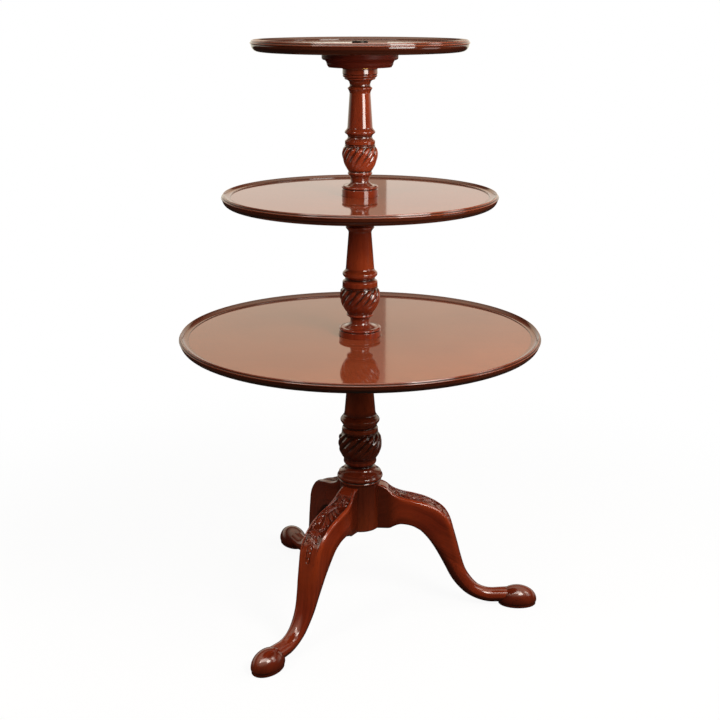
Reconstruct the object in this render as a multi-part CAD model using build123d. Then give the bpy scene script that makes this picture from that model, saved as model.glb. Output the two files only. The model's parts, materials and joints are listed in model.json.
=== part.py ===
from build123d import *
import os

# Three-tier revolving dumbwaiter table in turned and carved mahogany. A pillar of three turned
# lengths stands on three cabriole legs, and three round dished trays turn about it, one above
# the other and each smaller than the one below.
# Millimetres, +Z up. The origin is on the floor under the pillar's axis, +X runs along the right leg.

# Trays
bottom_tray_radius = 330.0
middle_tray_radius = 246.3
top_tray_radius = 189.9
bottom_rim_height = 544.7
middle_tray_rise = 255.0
top_tray_rise = 264.4
tray_thickness = 19.3
bottom_dish_depth = 6.5
middle_dish_depth = 5.0
top_dish_depth = 5.0

# Moulded rim of every tray, from the flat field outwards and down to the underside
rim_width = 18.0
quirk_width = 1.4
quirk_height = 1.2
crest_inset = 3.5
crest_round = 1.1
crest_lip_height = 2.6
rim_groove_height = 0.9
rim_groove_depth = 1.8
rim_bead_height = 3.0
rim_bead_proud = 1.0
rim_step = 0.7
under_edge_inset = 13.0
# How far each curved stretch of the rim swells, or with a minus sign is hollowed
ovolo_bulge_share = 0.2
crest_bulge_share = 0.2
crest_flank_bulge_share = 0.1
cove_bulge_share = -0.12

# Shallow seat turned in the field round the pin, under the drum or nut that stands over it
seat_depth = 0.8
seat_margin = 1.0

# Bearer blocks screwed under the trays
bottom_bearer_radius = 95.0
middle_bearer_radius = 78.0
top_bearer_radius = 66.5
bottom_bearer_thickness = 26.8
middle_bearer_thickness = 20.0
top_bearer_thickness = 26.8
bearer_screw_count = 4

# Pins that the trays turn on, and the washers that carry them
journal_radius = 14.0
top_journal_radius = 9.0
running_clearance = 0.1
washer_thickness = 1.5
drum_clearance = 0.3
tenon_radius = 9.0
tenon_length = 26.0
glue_clearance = 0.1

# Turned pillar
lower_drum_radius = 38.0
middle_drum_radius = 38.2
upper_drum_radius = 32.0
hub_bottom_height = 160.0

# Iron stud and ring nut that hold the top tray
stud_radius = 5.0
stud_depth = 45.0
nut_radius = 13.8
nut_height = 3.4
nut_slot_width = 3.2
nut_slot_depth = 1.8
nut_slot_count = 4

# Cabriole legs with pad feet
leg_count = 3
foot_reach = 343.5
leg_top_gap = 0.9
leg_root_trim = 3.0
knee_width = 47.0
foot_length = 75.0
foot_width = 52.0
foot_top_height = 37.0
pad_height = 6.5
pad_inset = 1.5
dovetail_depth = 16.0
dovetail_root_width = 12.0
dovetail_tip_width = 18.0
dovetail_shoulder = 14.0

# Iron brace under the hub
brace_thickness = 2.5
brace_hub_radius = 24.0
brace_reach = 56.0
brace_arm_width = 16.0
brace_screw_length = 18.0

# Countersunk wood screws, all of one gauge
screw_shank_radius = 2.2
screw_head_radius = 4.2
screw_head_height = 2.2
screw_slot_width = 0.9
screw_slot_depth = 0.9
screw_fit = 0.05

# One overrun for every cut that runs past a face
overrun = 20.0

# Turnings, from the foot up. Each row is a share of the turning's height, a share of its drum
# radius, and the bulge of the stretch that arrives there, as a share of that stretch's length:
# 0 is straight, above 0 swells out and below 0 is hollow.
lower_turning_shares = [
    (0.000, 0.930, 0.00),
    (0.010, 1.000, 0.10),
    (0.274, 1.000, 0.00),
    (0.278, 1.020, 0.00),
    (0.288, 1.055, 0.25),
    (0.292, 1.030, 0.00),
    (0.299, 1.095, 0.00),
    (0.317, 1.100, 0.22),
    (0.326, 1.065, 0.00),
    (0.334, 1.045, 0.00),
    (0.358, 0.800, -0.10),
    (0.369, 0.655, -0.10),
    (0.376, 0.690, 0.00),
    (0.384, 0.775, 0.00),
    (0.404, 0.800, 0.15),
    (0.417, 0.815, 0.00),
    (0.501, 1.074, 0.10),
    (0.566, 0.925, 0.09),
    (0.571, 0.875, 0.00),
    (0.576, 0.890, 0.00),
    (0.591, 0.885, 0.00),
    (0.601, 0.808, -0.08),
    (0.613, 0.860, -0.05),
    (0.626, 0.925, -0.05),
    (0.648, 0.930, 0.20),
    (0.661, 0.850, -0.03),
    (0.672, 0.785, -0.08),
    (0.700, 0.750, -0.02),
    (0.866, 0.620, 0.00),
    (0.877, 0.650, -0.05),
    (0.890, 0.740, 0.00),
    (0.908, 0.740, 0.30),
    (0.920, 0.640, -0.15),
    (0.938, 0.680, -0.10),
    (0.950, 0.800, 0.00),
    (0.958, 0.930, 0.20),
    (0.964, 0.915, 0.00),
    (0.973, 1.010, 0.15),
    (0.978, 1.000, 0.00),
    (0.983, 1.050, 0.00),
    (1.000, 1.060, 0.00),
]
middle_turning_shares = [
    (0.000, 1.000, 0.00),
    (0.046, 1.000, 0.00),
    (0.051, 0.960, 0.00),
    (0.055, 0.975, 0.00),
    (0.071, 0.990, 0.30),
    (0.077, 0.930, 0.00),
    (0.100, 0.520, -0.12),
    (0.132, 0.466, -0.08),
    (0.150, 0.475, -0.03),
    (0.163, 0.535, 0.00),
    (0.170, 0.610, 0.00),
    (0.188, 0.620, 0.25),
    (0.203, 0.635, 0.00),
    (0.334, 0.968, 0.09),
    (0.413, 0.865, 0.07),
    (0.418, 0.815, 0.00),
    (0.422, 0.835, 0.00),
    (0.458, 0.830, 0.00),
    (0.466, 0.790, 0.15),
    (0.481, 0.695, -0.10),
    (0.495, 0.730, -0.05),
    (0.506, 0.790, -0.05),
    (0.540, 0.790, 0.20),
    (0.553, 0.715, -0.05),
    (0.574, 0.672, -0.10),
    (0.862, 0.540, 0.00),
    (0.880, 0.565, -0.05),
    (0.897, 0.640, 0.00),
    (0.917, 0.640, 0.30),
    (0.930, 0.580, -0.15),
    (0.945, 0.620, -0.10),
    (0.955, 0.720, 0.00),
    (0.962, 0.830, 0.20),
    (0.968, 0.815, 0.00),
    (0.976, 0.905, 0.15),
    (0.981, 0.895, 0.00),
    (0.985, 0.950, 0.00),
    (1.000, 0.965, 0.00),
]
upper_turning_shares = [
    (0.000, 1.000, 0.00),
    (0.054, 1.000, 0.00),
    (0.060, 0.955, 0.00),
    (0.064, 0.975, 0.00),
    (0.080, 0.990, 0.30),
    (0.087, 0.930, 0.00),
    (0.108, 0.555, -0.15),
    (0.135, 0.516, -0.08),
    (0.162, 0.570, -0.08),
    (0.172, 0.640, 0.00),
    (0.194, 0.645, 0.25),
    (0.200, 0.640, 0.00),
    (0.331, 0.992, 0.07),
    (0.404, 0.870, 0.08),
    (0.410, 0.800, 0.00),
    (0.414, 0.833, 0.00),
    (0.434, 0.835, 0.00),
    (0.442, 0.815, 0.15),
    (0.472, 0.668, -0.12),
    (0.484, 0.700, -0.05),
    (0.496, 0.800, -0.05),
    (0.520, 0.800, 0.27),
    (0.530, 0.745, -0.05),
    (0.547, 0.695, -0.10),
    (0.806, 0.575, 0.00),
    (0.818, 0.585, -0.03),
    (0.836, 0.635, 0.00),
    (0.855, 0.625, 0.35),
    (0.868, 0.565, -0.15),
    (0.888, 0.585, -0.08),
    (0.905, 0.650, -0.10),
    (0.912, 0.755, 0.00),
    (0.922, 0.850, 0.20),
    (0.928, 0.835, 0.00),
    (0.934, 0.905, 0.15),
    (0.946, 0.945, 0.15),
    (0.952, 0.925, 0.00),
    (0.958, 0.960, 0.00),
    (0.993, 0.950, 0.00),
    (1.000, 0.985, 0.00),
]

# Edge of a bearer block, from its underside up, in the same way
bearer_edge_shares = [
    (0.00, 0.828, 0.00),
    (0.06, 0.835, 0.00),
    (0.26, 0.871, 0.12),
    (0.34, 0.886, 0.00),
    (0.46, 0.940, -0.12),
    (0.57, 1.000, 0.18),
    (0.94, 1.000, 0.00),
    (1.00, 0.985, 0.15),
]

# Sections of a leg from the hub to inside the foot. Each row is the reach and height of the
# section's upper edge, the reach and height of its lower edge, its width, and how round its
# corners are. Reaches are shares of foot_reach, heights of leg_rise, widths of knee_width.
leg_section_shares = [
    (0.087, 1.000, 0.087, 0.622, 0.70, 0.10),
    (0.140, 0.970, 0.151, 0.622, 0.73, 0.10),
    (0.180, 0.923, 0.192, 0.661, 0.87, 0.10),
    (0.233, 0.891, 0.230, 0.679, 0.96, 0.10),
    (0.309, 0.867, 0.285, 0.669, 1.00, 0.10),
    (0.384, 0.834, 0.329, 0.638, 0.98, 0.12),
    (0.457, 0.772, 0.352, 0.610, 0.96, 0.14),
    (0.501, 0.689, 0.384, 0.558, 0.94, 0.20),
    (0.527, 0.586, 0.416, 0.487, 0.91, 0.35),
    (0.549, 0.483, 0.445, 0.412, 0.89, 0.55),
    (0.568, 0.388, 0.475, 0.329, 0.84, 0.75),
    (0.592, 0.289, 0.509, 0.234, 0.77, 0.90),
    (0.623, 0.218, 0.550, 0.154, 0.70, 0.95),
    (0.661, 0.160, 0.597, 0.091, 0.66, 0.96),
    (0.699, 0.131, 0.652, 0.048, 0.64, 0.96),
    (0.739, 0.119, 0.719, 0.022, 0.65, 0.96),
    (0.786, 0.121, 0.780, 0.022, 0.68, 0.96),
    (0.844, 0.125, 0.844, 0.026, 0.72, 0.96),
]

# Widest point of the pad foot as a share of its height
foot_belly_share = 0.24
# How deep the bearer's screws bite into the board under the field
bearer_screw_bite_share = 0.6
# Where the bearer's screws stand, between the pillar's cap and the bearer's lower edge
bearer_screw_place_share = 0.6
# How much of its cap a washer covers
washer_cover_share = 0.92
# Where the brace's outer screws stand along its arms
brace_screw_place_share = 0.84


class Tier:
    # One tray with its bearer, and the heights that follow from its rim. What stands over the
    # tray's middle is a drum of the pillar or the ring nut.
    def __init__(self, name, tray_radius, rim_height, dish_depth, bearer_radius,
                 bearer_thickness, pin_radius, cap_radius, over_radius):
        self.name = name
        self.tray_radius = tray_radius
        self.rim = rim_height
        self.field = rim_height - dish_depth
        self.seat = self.field - seat_depth
        self.seat_radius = over_radius + seat_margin
        self.underside = rim_height - tray_thickness
        self.bearer_radius = bearer_radius
        self.bearer_thickness = bearer_thickness
        self.bearer_bottom = self.underside - bearer_thickness
        self.cap = self.bearer_bottom - washer_thickness
        self.pin_radius = pin_radius
        self.cap_radius = cap_radius
        self.pin_top = self.seat + drum_clearance
        self.screw_length = bearer_thickness + bearer_screw_bite_share * (self.field - self.underside)


def cap_radius_of(turning_shares, drum_radius):
    return turning_shares[-1][1] * drum_radius


bottom_tier = Tier("bottom", bottom_tray_radius, bottom_rim_height, bottom_dish_depth,
                   bottom_bearer_radius, bottom_bearer_thickness, journal_radius,
                   cap_radius_of(lower_turning_shares, lower_drum_radius), middle_drum_radius)
middle_tier = Tier("middle", middle_tray_radius, bottom_tier.rim + middle_tray_rise, middle_dish_depth,
                   middle_bearer_radius, middle_bearer_thickness, journal_radius,
                   cap_radius_of(middle_turning_shares, middle_drum_radius), upper_drum_radius)
top_tier = Tier("top", top_tray_radius, middle_tier.rim + top_tray_rise, top_dish_depth,
                top_bearer_radius, top_bearer_thickness, top_journal_radius,
                cap_radius_of(upper_turning_shares, upper_drum_radius), nut_radius)

# The legs' roots reach up to the rings over the hub, at the third row of its turning
hub_top_share = lower_turning_shares[2][0]
leg_rise = hub_bottom_height + hub_top_share * (bottom_tier.cap - hub_bottom_height) - leg_top_gap


def revolved(rows):
    # Solid of revolution about Z from an outline of (radius, height, bulge) rows, run
    # anticlockwise, so that a bulge above 0 swells out of the solid.
    edges = []
    for (r0, z0, _), (r1, z1, bulge) in zip(rows, rows[1:]):
        start = Vector(r0, 0, z0)
        end = Vector(r1, 0, z1)
        if bulge == 0:
            edges.append(Line(start, end))
        else:
            out = Vector(z1 - z0, 0, r0 - r1)
            edges.append(ThreePointArc(start, (start + end) / 2 + out * bulge, end))
    last, first = rows[-1], rows[0]
    edges.append(Line(Vector(last[0], 0, last[1]), Vector(first[0], 0, first[1])))
    return revolve(make_face(edges), axis=Axis.Z)


def turning(shares, low, high, radius, bore=0.0):
    # A turned piece between two heights, solid or with a plain bore.
    rows = [(share_r * radius, low + share_h * (high - low), bulge) for share_h, share_r, bulge in shares]
    return revolved([(bore, low, 0)] + rows + [(bore, high, 0)])


def rod(radius, low, high):
    return Pos(0, 0, low) * Cylinder(radius, high - low, align=(Align.CENTER, Align.CENTER, Align.MIN))


def ring(outer_radius, inner_radius, low, high):
    return rod(outer_radius, low, high) - rod(inner_radius, low - overrun, high + overrun)


def screw_body(length, extra=0.0):
    # A countersunk screw standing on its head at height 0. With some extra it is the hole it sits in.
    head = Cone(screw_head_radius + extra, screw_shank_radius + extra, screw_head_height,
                align=(Align.CENTER, Align.CENTER, Align.MIN))
    return head + rod(screw_shank_radius + extra, 0, length + extra)


def screw(length):
    slot = Box(screw_head_radius * 2 + overrun, screw_slot_width, screw_slot_depth,
               align=(Align.CENTER, Align.CENTER, Align.MIN))
    return screw_body(length) - slot


def placed(shape, places):
    return [Pos(x, y, z) * shape for x, y, z in places]


def tray(tier):
    # A round board with a sunk field and a moulded rim.
    r = tier.tray_radius
    bead_top = tier.rim - crest_lip_height - rim_groove_height
    bead_bottom = bead_top - rim_bead_height
    field_edge = r - rim_width
    cove_foot = field_edge + quirk_width
    bore = tier.pin_radius + running_clearance
    return revolved([
        (bore, tier.underside, 0),
        (r - under_edge_inset, tier.underside, 0),
        (r - rim_bead_proud - rim_step, bead_bottom, ovolo_bulge_share),
        (r - rim_bead_proud, bead_bottom, 0),
        (r - rim_bead_proud, bead_top, rim_bead_proud / rim_bead_height),
        (r - rim_groove_depth, bead_top, 0),
        (r - rim_groove_depth, tier.rim - crest_lip_height, 0),
        (r - crest_inset + crest_round, tier.rim - crest_round, crest_flank_bulge_share),
        (r - crest_inset, tier.rim, crest_bulge_share),
        (r - crest_inset - crest_round, tier.rim - crest_round / 2, crest_flank_bulge_share),
        (cove_foot, tier.field + quirk_height, cove_bulge_share),
        (cove_foot, tier.field, 0),
        (tier.seat_radius, tier.field, 0),
        (tier.seat_radius, tier.seat, 0),
        (bore, tier.seat, 0),
    ])


def bearer_screw_places(tier):
    edge = bearer_edge_shares[0][1] * tier.bearer_radius
    reach = tier.cap_radius + bearer_screw_place_share * (edge - tier.cap_radius)
    ring_of_places = PolarLocations(reach, bearer_screw_count)
    return [(p.position.X, p.position.Y, tier.bearer_bottom) for p in ring_of_places.locations]


def tier_parts(tier):
    bore = tier.pin_radius + running_clearance
    board = tray(tier)
    block = turning(bearer_edge_shares, tier.bearer_bottom, tier.underside, tier.bearer_radius, bore)
    places = bearer_screw_places(tier)
    for hole in placed(screw_body(tier.screw_length, screw_fit), places):
        board -= hole
        block -= hole
    screws = Compound(children=placed(screw(tier.screw_length), places))
    return {
        tier.name + "_tray": board,
        tier.name + "_bearer": block,
        tier.name + "_bearer_screws": screws,
    }


def washer(tier):
    return ring(tier.cap_radius * washer_cover_share, tier.pin_radius + drum_clearance,
                tier.cap, tier.bearer_bottom)


def socket_at(height):
    # Blind hole for the tenon of the length below.
    return rod(tenon_radius + glue_clearance, height - overrun, height + tenon_length + glue_clearance)


def column_top(tier):
    # The pin that a tray turns on, and the tenon that enters the next length.
    pin = rod(tier.pin_radius, tier.cap, tier.pin_top)
    tenon = rod(tenon_radius, tier.cap, tier.pin_top + tenon_length)
    return pin + tenon


def dovetail(extra):
    # Tongue of a leg along +X, or its socket in the hub with some extra all round.
    tip = lower_drum_radius - dovetail_depth - extra
    root = lower_drum_radius + dovetail_depth / 2
    slope = (dovetail_tip_width - dovetail_root_width) / 2 / dovetail_depth
    tip_half = dovetail_tip_width / 2 + extra
    root_half = tip_half - slope * (root - tip)
    outline = Polyline((tip, -tip_half), (root, -root_half), (root, root_half), (tip, tip_half), close=True)
    top = leg_rise - dovetail_shoulder + extra
    return extrude(Pos(0, 0, hub_bottom_height) * make_face(outline), top - hub_bottom_height)


def lower_column():
    body = turning(lower_turning_shares, hub_bottom_height, bottom_tier.cap, lower_drum_radius)
    body += column_top(bottom_tier)
    socket = dovetail(glue_clearance)
    for turn in PolarLocations(0, leg_count):
        body -= turn * socket
    return body - Pos(0, 0, hub_bottom_height - brace_thickness) * screw_body(brace_screw_length, screw_fit)


def middle_column():
    low = bottom_tier.pin_top
    body = turning(middle_turning_shares, low, middle_tier.cap, middle_drum_radius)
    return body + column_top(middle_tier) - socket_at(low)


def upper_column():
    low = middle_tier.pin_top
    body = turning(upper_turning_shares, low, top_tier.cap, upper_drum_radius)
    body += rod(top_tier.pin_radius, top_tier.cap, top_tier.pin_top)
    stud_hole = rod(stud_radius + screw_fit, top_tier.pin_top - stud_depth - screw_fit, top_tier.pin_top + overrun)
    return body - socket_at(low) - stud_hole


def top_stud():
    return rod(stud_radius, top_tier.pin_top - stud_depth, top_tier.pin_top + nut_height)


def top_nut():
    body = ring(nut_radius, stud_radius + screw_fit, top_tier.pin_top, top_tier.pin_top + nut_height)
    slot = Pos(nut_radius, 0, top_tier.pin_top + nut_height - nut_slot_depth) * Box(
        nut_radius, nut_slot_width, nut_slot_depth + overrun, align=(Align.CENTER, Align.CENTER, Align.MIN))
    turn = Rot(0, 0, 180 / nut_slot_count)
    for place in PolarLocations(0, nut_slot_count):
        body -= turn * place * slot
    return body


def leg_section(upper_reach, upper_height, lower_reach, lower_height, width, roundness):
    # A rounded rectangle that stands across the leg between its upper and lower edges. Over the
    # brace it runs down past the hub's underside, for the flat cut there.
    low = lower_height * leg_rise
    if lower_reach * foot_reach < brace_reach:
        low = hub_bottom_height - leg_root_trim
    upper = Vector(upper_reach * foot_reach, 0, upper_height * leg_rise)
    lower = Vector(lower_reach * foot_reach, 0, low)
    depth = (upper - lower).length
    wide = width * knee_width
    across = Vector(0, 1, 0)
    plane = Plane(origin=(upper + lower) / 2, x_dir=across, z_dir=across.cross((upper - lower).normalized()))
    return plane * RectangleRounded(wide, depth, roundness * min(wide, depth) / 2)


def foot():
    # An egg-shaped pad foot, cut flat over a low pad of the same outline.
    centre = foot_reach - foot_length / 2
    belly = foot_top_height * foot_belly_share
    egg = Pos(centre, 0, belly) * scale(
        Sphere(1), by=(foot_length / 2, foot_width / 2, foot_top_height - belly))
    egg -= Pos(centre, 0, pad_height) * Box(
        foot_length + overrun, foot_width + overrun, foot_top_height,
        align=(Align.CENTER, Align.CENTER, Align.MAX))
    pad = extrude(Ellipse(foot_length / 2 - pad_inset, foot_width / 2 - pad_inset), pad_height)
    return egg + Pos(centre, 0, 0) * pad


def leg():
    # The right leg. Its root is cut hollow to the hub and flat where the brace lies.
    limb = loft([leg_section(*row) for row in leg_section_shares])
    limb -= rod(lower_drum_radius, 0, leg_rise + overrun)
    limb -= Pos(0, 0, hub_bottom_height) * Box(
        (brace_reach + screw_head_radius) * 2, knee_width + overrun, overrun,
        align=(Align.CENTER, Align.CENTER, Align.MAX))
    limb += foot()
    tongue = dovetail(0.0)
    limb += tongue
    for hole in placed(screw_body(brace_screw_length, screw_fit), brace_places()[1:2]):
        limb -= hole
    return limb


def brace_places():
    # One screw in the hub's middle, then one in the root of each leg.
    height = hub_bottom_height - brace_thickness
    arms = PolarLocations(brace_reach * brace_screw_place_share, leg_count).locations
    return [(0, 0, height)] + [(p.position.X, p.position.Y, height) for p in arms]


def leg_brace():
    plate = Circle(brace_hub_radius)
    arm_length = brace_reach - brace_arm_width / 2
    arm = Pos(arm_length / 2, 0) * Rectangle(arm_length, brace_arm_width) + Pos(arm_length, 0) * Circle(
        brace_arm_width / 2)
    for turn in PolarLocations(0, leg_count):
        plate += turn * arm
    body = extrude(Pos(0, 0, hub_bottom_height - brace_thickness) * plate, brace_thickness)
    for hole in placed(screw_body(brace_screw_length, screw_fit), brace_places()):
        body -= hole
    return body


parts = {
    "lower_column": lower_column(),
    "middle_column": middle_column(),
    "upper_column": upper_column(),
    "leg_brace": leg_brace(),
    "brace_screws": Compound(children=placed(screw(brace_screw_length), brace_places())),
    "top_stud": top_stud(),
    "top_nut": top_nut(),
}
right_leg = leg()
for name, turn in zip(("leg_right", "leg_rear_left", "leg_front_left"), PolarLocations(0, leg_count)):
    parts[name] = turn * right_leg
for tier in (bottom_tier, middle_tier, top_tier):
    parts[tier.name + "_washer"] = washer(tier)
    parts.update(tier_parts(tier))

os.makedirs("parts", exist_ok=True)
for name, shape in parts.items():
    export_step(shape, os.path.join("parts", name + ".step"))
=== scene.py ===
# %% [markdown]
# A dumbwaiter table is three round trays, one above the other, that turn about a single pillar.
# The pillar is turned on a lathe and carved, and it stands on three curved legs. Everything is
# polished mahogany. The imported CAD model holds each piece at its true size, so this lesson dresses
# those pieces: it lathes and carves the fine shapes again, and gives every piece its finish.

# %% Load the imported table
import json
import math

import bpy
import numpy as np
from mathutils import Matrix


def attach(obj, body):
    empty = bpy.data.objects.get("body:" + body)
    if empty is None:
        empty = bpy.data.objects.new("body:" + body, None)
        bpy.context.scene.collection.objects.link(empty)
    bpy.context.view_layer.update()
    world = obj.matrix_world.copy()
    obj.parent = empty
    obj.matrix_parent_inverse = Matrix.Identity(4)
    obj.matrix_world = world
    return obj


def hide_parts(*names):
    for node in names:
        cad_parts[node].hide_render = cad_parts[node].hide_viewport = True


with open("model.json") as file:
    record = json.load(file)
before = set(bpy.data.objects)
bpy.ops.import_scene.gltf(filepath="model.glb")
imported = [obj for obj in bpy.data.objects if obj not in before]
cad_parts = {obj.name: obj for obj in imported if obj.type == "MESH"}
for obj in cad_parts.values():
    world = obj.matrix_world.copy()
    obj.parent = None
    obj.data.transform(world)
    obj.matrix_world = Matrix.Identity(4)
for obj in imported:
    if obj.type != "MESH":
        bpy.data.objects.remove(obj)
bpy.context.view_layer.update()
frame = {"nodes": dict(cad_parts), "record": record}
mm = 0.001

# %% [markdown]
# The photograph was taken from a little above the top tray with a short telephoto lens. The camera
# stands to the right of the front by under two degrees and looks down by sixteen. Setting it up
# first means that each later step can be compared with the photograph.

# %% Set up the camera
camera_turn = math.radians(1.87)
camera_drop = math.radians(16.06)
camera_distance = 2.22188
camera_height = 1.1293
camera_data = bpy.data.cameras.new("camera")
camera_data.lens = 62.5
camera_data.sensor_width = 36.0
camera = bpy.data.objects.new("camera", camera_data)
camera.location = (
    camera_distance * math.sin(camera_turn),
    -camera_distance * math.cos(camera_turn),
    camera_height,
)
camera.rotation_euler = (math.pi / 2 - camera_drop, 0.0, camera_turn)
bpy.context.scene.collection.objects.link(camera)
bpy.context.scene.camera = camera
bpy.context.scene.view_settings.view_transform = "Standard"
print("camera at", [round(value, 3) for value in camera.location])

# %% [markdown]
# Colours are written as on a paint chart, in sRGB hex, and Blender's shaders want them linear, so one
# function turns them. Every node in the lesson is added by one more function: it sets the node's
# own settings, then gives each input a number, a colour, an output, or another node, which stands
# for that node's first output.

# %% Helpers for colours and nodes
def linear(chart):
    # The numbers are those of the sRGB curve.
    parts = [int(chart[place:place + 2], 16) / 255 for place in (1, 3, 5)]
    return tuple(((c + 0.055) / 1.055) ** 2.4 if c > 0.04045 else c / 12.92 for c in parts) + (1.0,)


def add(tree, kind, inputs=None, **settings):
    node = tree.nodes.new("ShaderNode" + kind)
    for name, value in settings.items():
        setattr(node, name, value)
    for key, value in (inputs or {}).items():
        if isinstance(value, bpy.types.Node):
            value = value.outputs[0]
        if isinstance(value, bpy.types.NodeSocket):
            tree.links.new(value, node.inputs[key])
        else:
            node.inputs[key].default_value = value
    return node


def new_material(name):
    material = bpy.data.materials.new(name)
    material.use_nodes = True
    material.node_tree.nodes.clear()
    return material, material.node_tree


print("mahogany mid tone in linear light:", [round(c, 3) for c in linear("#7A2914")])

# %% [markdown]
# Mahogany under French polish is many thin coats of shellac rubbed over stained wood. The wood
# below gives a deep red-brown with long soft stripes and short dark pores, all running with the
# grain. The shellac above is almost a mirror, so it takes the pale wall at a low angle and stays
# dark from above. One surface shader with a low roughness and the IOR of shellac, 1.5, does both.
# Real pores are 0.2 mm wide, too fine to show from here, so they are drawn about 1 mm wide. Each
# mesh carries an attribute that paints shade and light into the wood. Where it is above zero, the
# wood is darker and duller: painted shade, with wax in the cuts and hollows. Where it is below zero,
# the wood is lighter: painted light, such as the highlight along the legs' edges.

# %% Mahogany under French polish
stripe_length = 250 * mm
stripe_width = 9 * mm
cloud_size = 120 * mm
pore_length = 12 * mm
pore_width = 1.1 * mm
pore_depth = 0.008 * mm
ripple_length = 45 * mm
ripple_height = 0.02 * mm
# Painted light: the lighter tone where the attribute is below zero.
painted_light_tone = linear("#A8401A")
pore_filler = linear("#2A0D07")
# Painted shade, with wax in the cuts: the dark tone where the attribute is above zero.
shade_and_wax_tone = linear("#1A0804")
darkened_roughness = 0.06


def french_polished_mahogany(name, dark, middle, light, coordinates, grain_turn, roughness, shine=0.5):
    material, tree = new_material(name)
    place = add(tree, "TexCoord")
    along = add(tree, "Mapping", {"Vector": place.outputs[coordinates], "Rotation": grain_turn})
    stripe_space = add(tree, "Mapping", {
        "Vector": along, "Scale": (1 / stripe_length, 1 / stripe_width, 1 / stripe_width)})
    stripe = add(tree, "TexNoise", {
        "Vector": stripe_space, "Scale": 1.0, "Detail": 5.0, "Roughness": 0.62,
        "Distortion": 0.6})
    cloud = add(tree, "TexNoise", {
        "Vector": along, "Scale": 1 / cloud_size, "Detail": 2.0, "Roughness": 0.5})
    pore_space = add(tree, "Mapping", {
        "Vector": along, "Scale": (1 / pore_length, 1 / pore_width, 1 / pore_width)})
    pore_noise = add(tree, "TexNoise", {
        "Vector": pore_space, "Scale": 1.0, "Detail": 2.0, "Roughness": 0.6})
    pore = add(tree, "MapRange", {
        "Value": pore_noise.outputs["Fac"], "From Min": 0.58, "From Max": 0.7, "To Max": 1.0})
    stripe_share = add(tree, "MapRange", {
        "Value": stripe.outputs["Fac"], "From Min": 0.32, "From Max": 0.68})
    cloud_share = add(tree, "MapRange", {
        "Value": cloud.outputs["Fac"], "From Min": 0.3, "From Max": 0.75, "To Max": 0.55})
    striped = add(tree, "Mix", {
        0: stripe_share, 6: linear(dark), 7: linear(middle)}, data_type="RGBA")
    clouded = add(tree, "Mix", {
        0: cloud_share, 6: striped.outputs[2], 7: linear(light)}, data_type="RGBA")
    # The attribute gives painted shade, with wax in the cuts, above zero, and painted light below zero.
    painted_light_and_wax = add(tree, "Attribute", attribute_name="painted_light_and_wax")
    painted_light_share = add(tree, "MapRange", {"Value": painted_light_and_wax.outputs["Fac"], "From Min": 0.0, "From Max": -1.0})
    lightened = add(tree, "Mix", {
        0: painted_light_share, 6: clouded.outputs[2], 7: painted_light_tone}, data_type="RGBA")
    pore_share = add(tree, "Math", {0: pore, 1: 0.45}, operation="MULTIPLY")
    pored = add(tree, "Mix", {
        0: pore_share, 6: lightened.outputs[2], 7: pore_filler}, data_type="RGBA")
    # Painted shade, with wax in the cuts, where the attribute is above zero.
    aged = add(tree, "Mix", {
        0: painted_light_and_wax.outputs["Fac"], 6: pored.outputs[2], 7: shade_and_wax_tone}, data_type="RGBA")
    dulled = add(tree, "MapRange", {
        "Value": painted_light_and_wax.outputs["Fac"], "To Min": roughness, "To Max": roughness + darkened_roughness})
    ripple = add(tree, "TexNoise", {
        "Vector": along, "Scale": 1 / ripple_length, "Detail": 1.0})
    ripple_bump = add(tree, "Bump", {
        "Height": ripple.outputs["Fac"], "Distance": ripple_height, "Strength": 1.0})
    pore_bump = add(tree, "Bump", {
        "Height": pore, "Distance": pore_depth, "Strength": 0.5,
        "Normal": ripple_bump}, invert=True)
    shader = add(tree, "BsdfPrincipled", {
        "Base Color": aged.outputs[2], "Roughness": dulled, "IOR": 1.5,
        "Specular IOR Level": shine, "Normal": pore_bump})
    add(tree, "OutputMaterial", {"Surface": shader})
    return material


no_turn = (0.0, 0.0, 0.0)
upright = (0.0, math.pi / 2, 0.0)
crosswise = (0.0, 0.0, math.pi / 2)
# The trays have the clearest polish, a mirror over a milky red-brown.
tray_wood = french_polished_mahogany(
    "french_polished_mahogany_tray", "#702C18", "#7C351E", "#8C4529", "Object", no_turn, 0.05)
# The pillar is redder, with its grain upright, and its shine is drawn out into lines.
pillar_wood = french_polished_mahogany(
    "french_polished_mahogany_pillar", "#561509", "#7C2C18", "#A0441F", "Object", upright, 0.09)
# The legs have the deepest stain and a slightly duller polish, so they gleam broadly.
leg_wood = french_polished_mahogany(
    "french_polished_mahogany_leg", "#4C1207", "#772612", "#9A3D1A", "UV", no_turn, 0.14)
# The bearers sit in the shade of the trays, so their wood is painted dark as painted shade, and with
# little polish it looks dull.
shaded_bearer_wood = french_polished_mahogany(
    "mahogany_bearer_painted_shade", "#3A110A", "#46160C", "#541C10", "Object", crosswise, 0.4, 0.05)
print("woods:", tray_wood.name, pillar_wood.name, leg_wood.name, shaded_bearer_wood.name)

# %% [markdown]
# The hardware is plain. The nut, the stud and the brace under the hub are forged iron, blackened with
# oil and heat, which leaves a fine rough skin. The screws are steel, dulled with age. The washers
# that the trays turn on are brass. Such metal wears in spots a few millimetres across, so one noise
# drives the colour, the roughness and a slight bump.

# %% Iron, steel and brass
spot_depth = 0.05 * mm
smoothest = -0.08
roughest = 0.12


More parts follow.
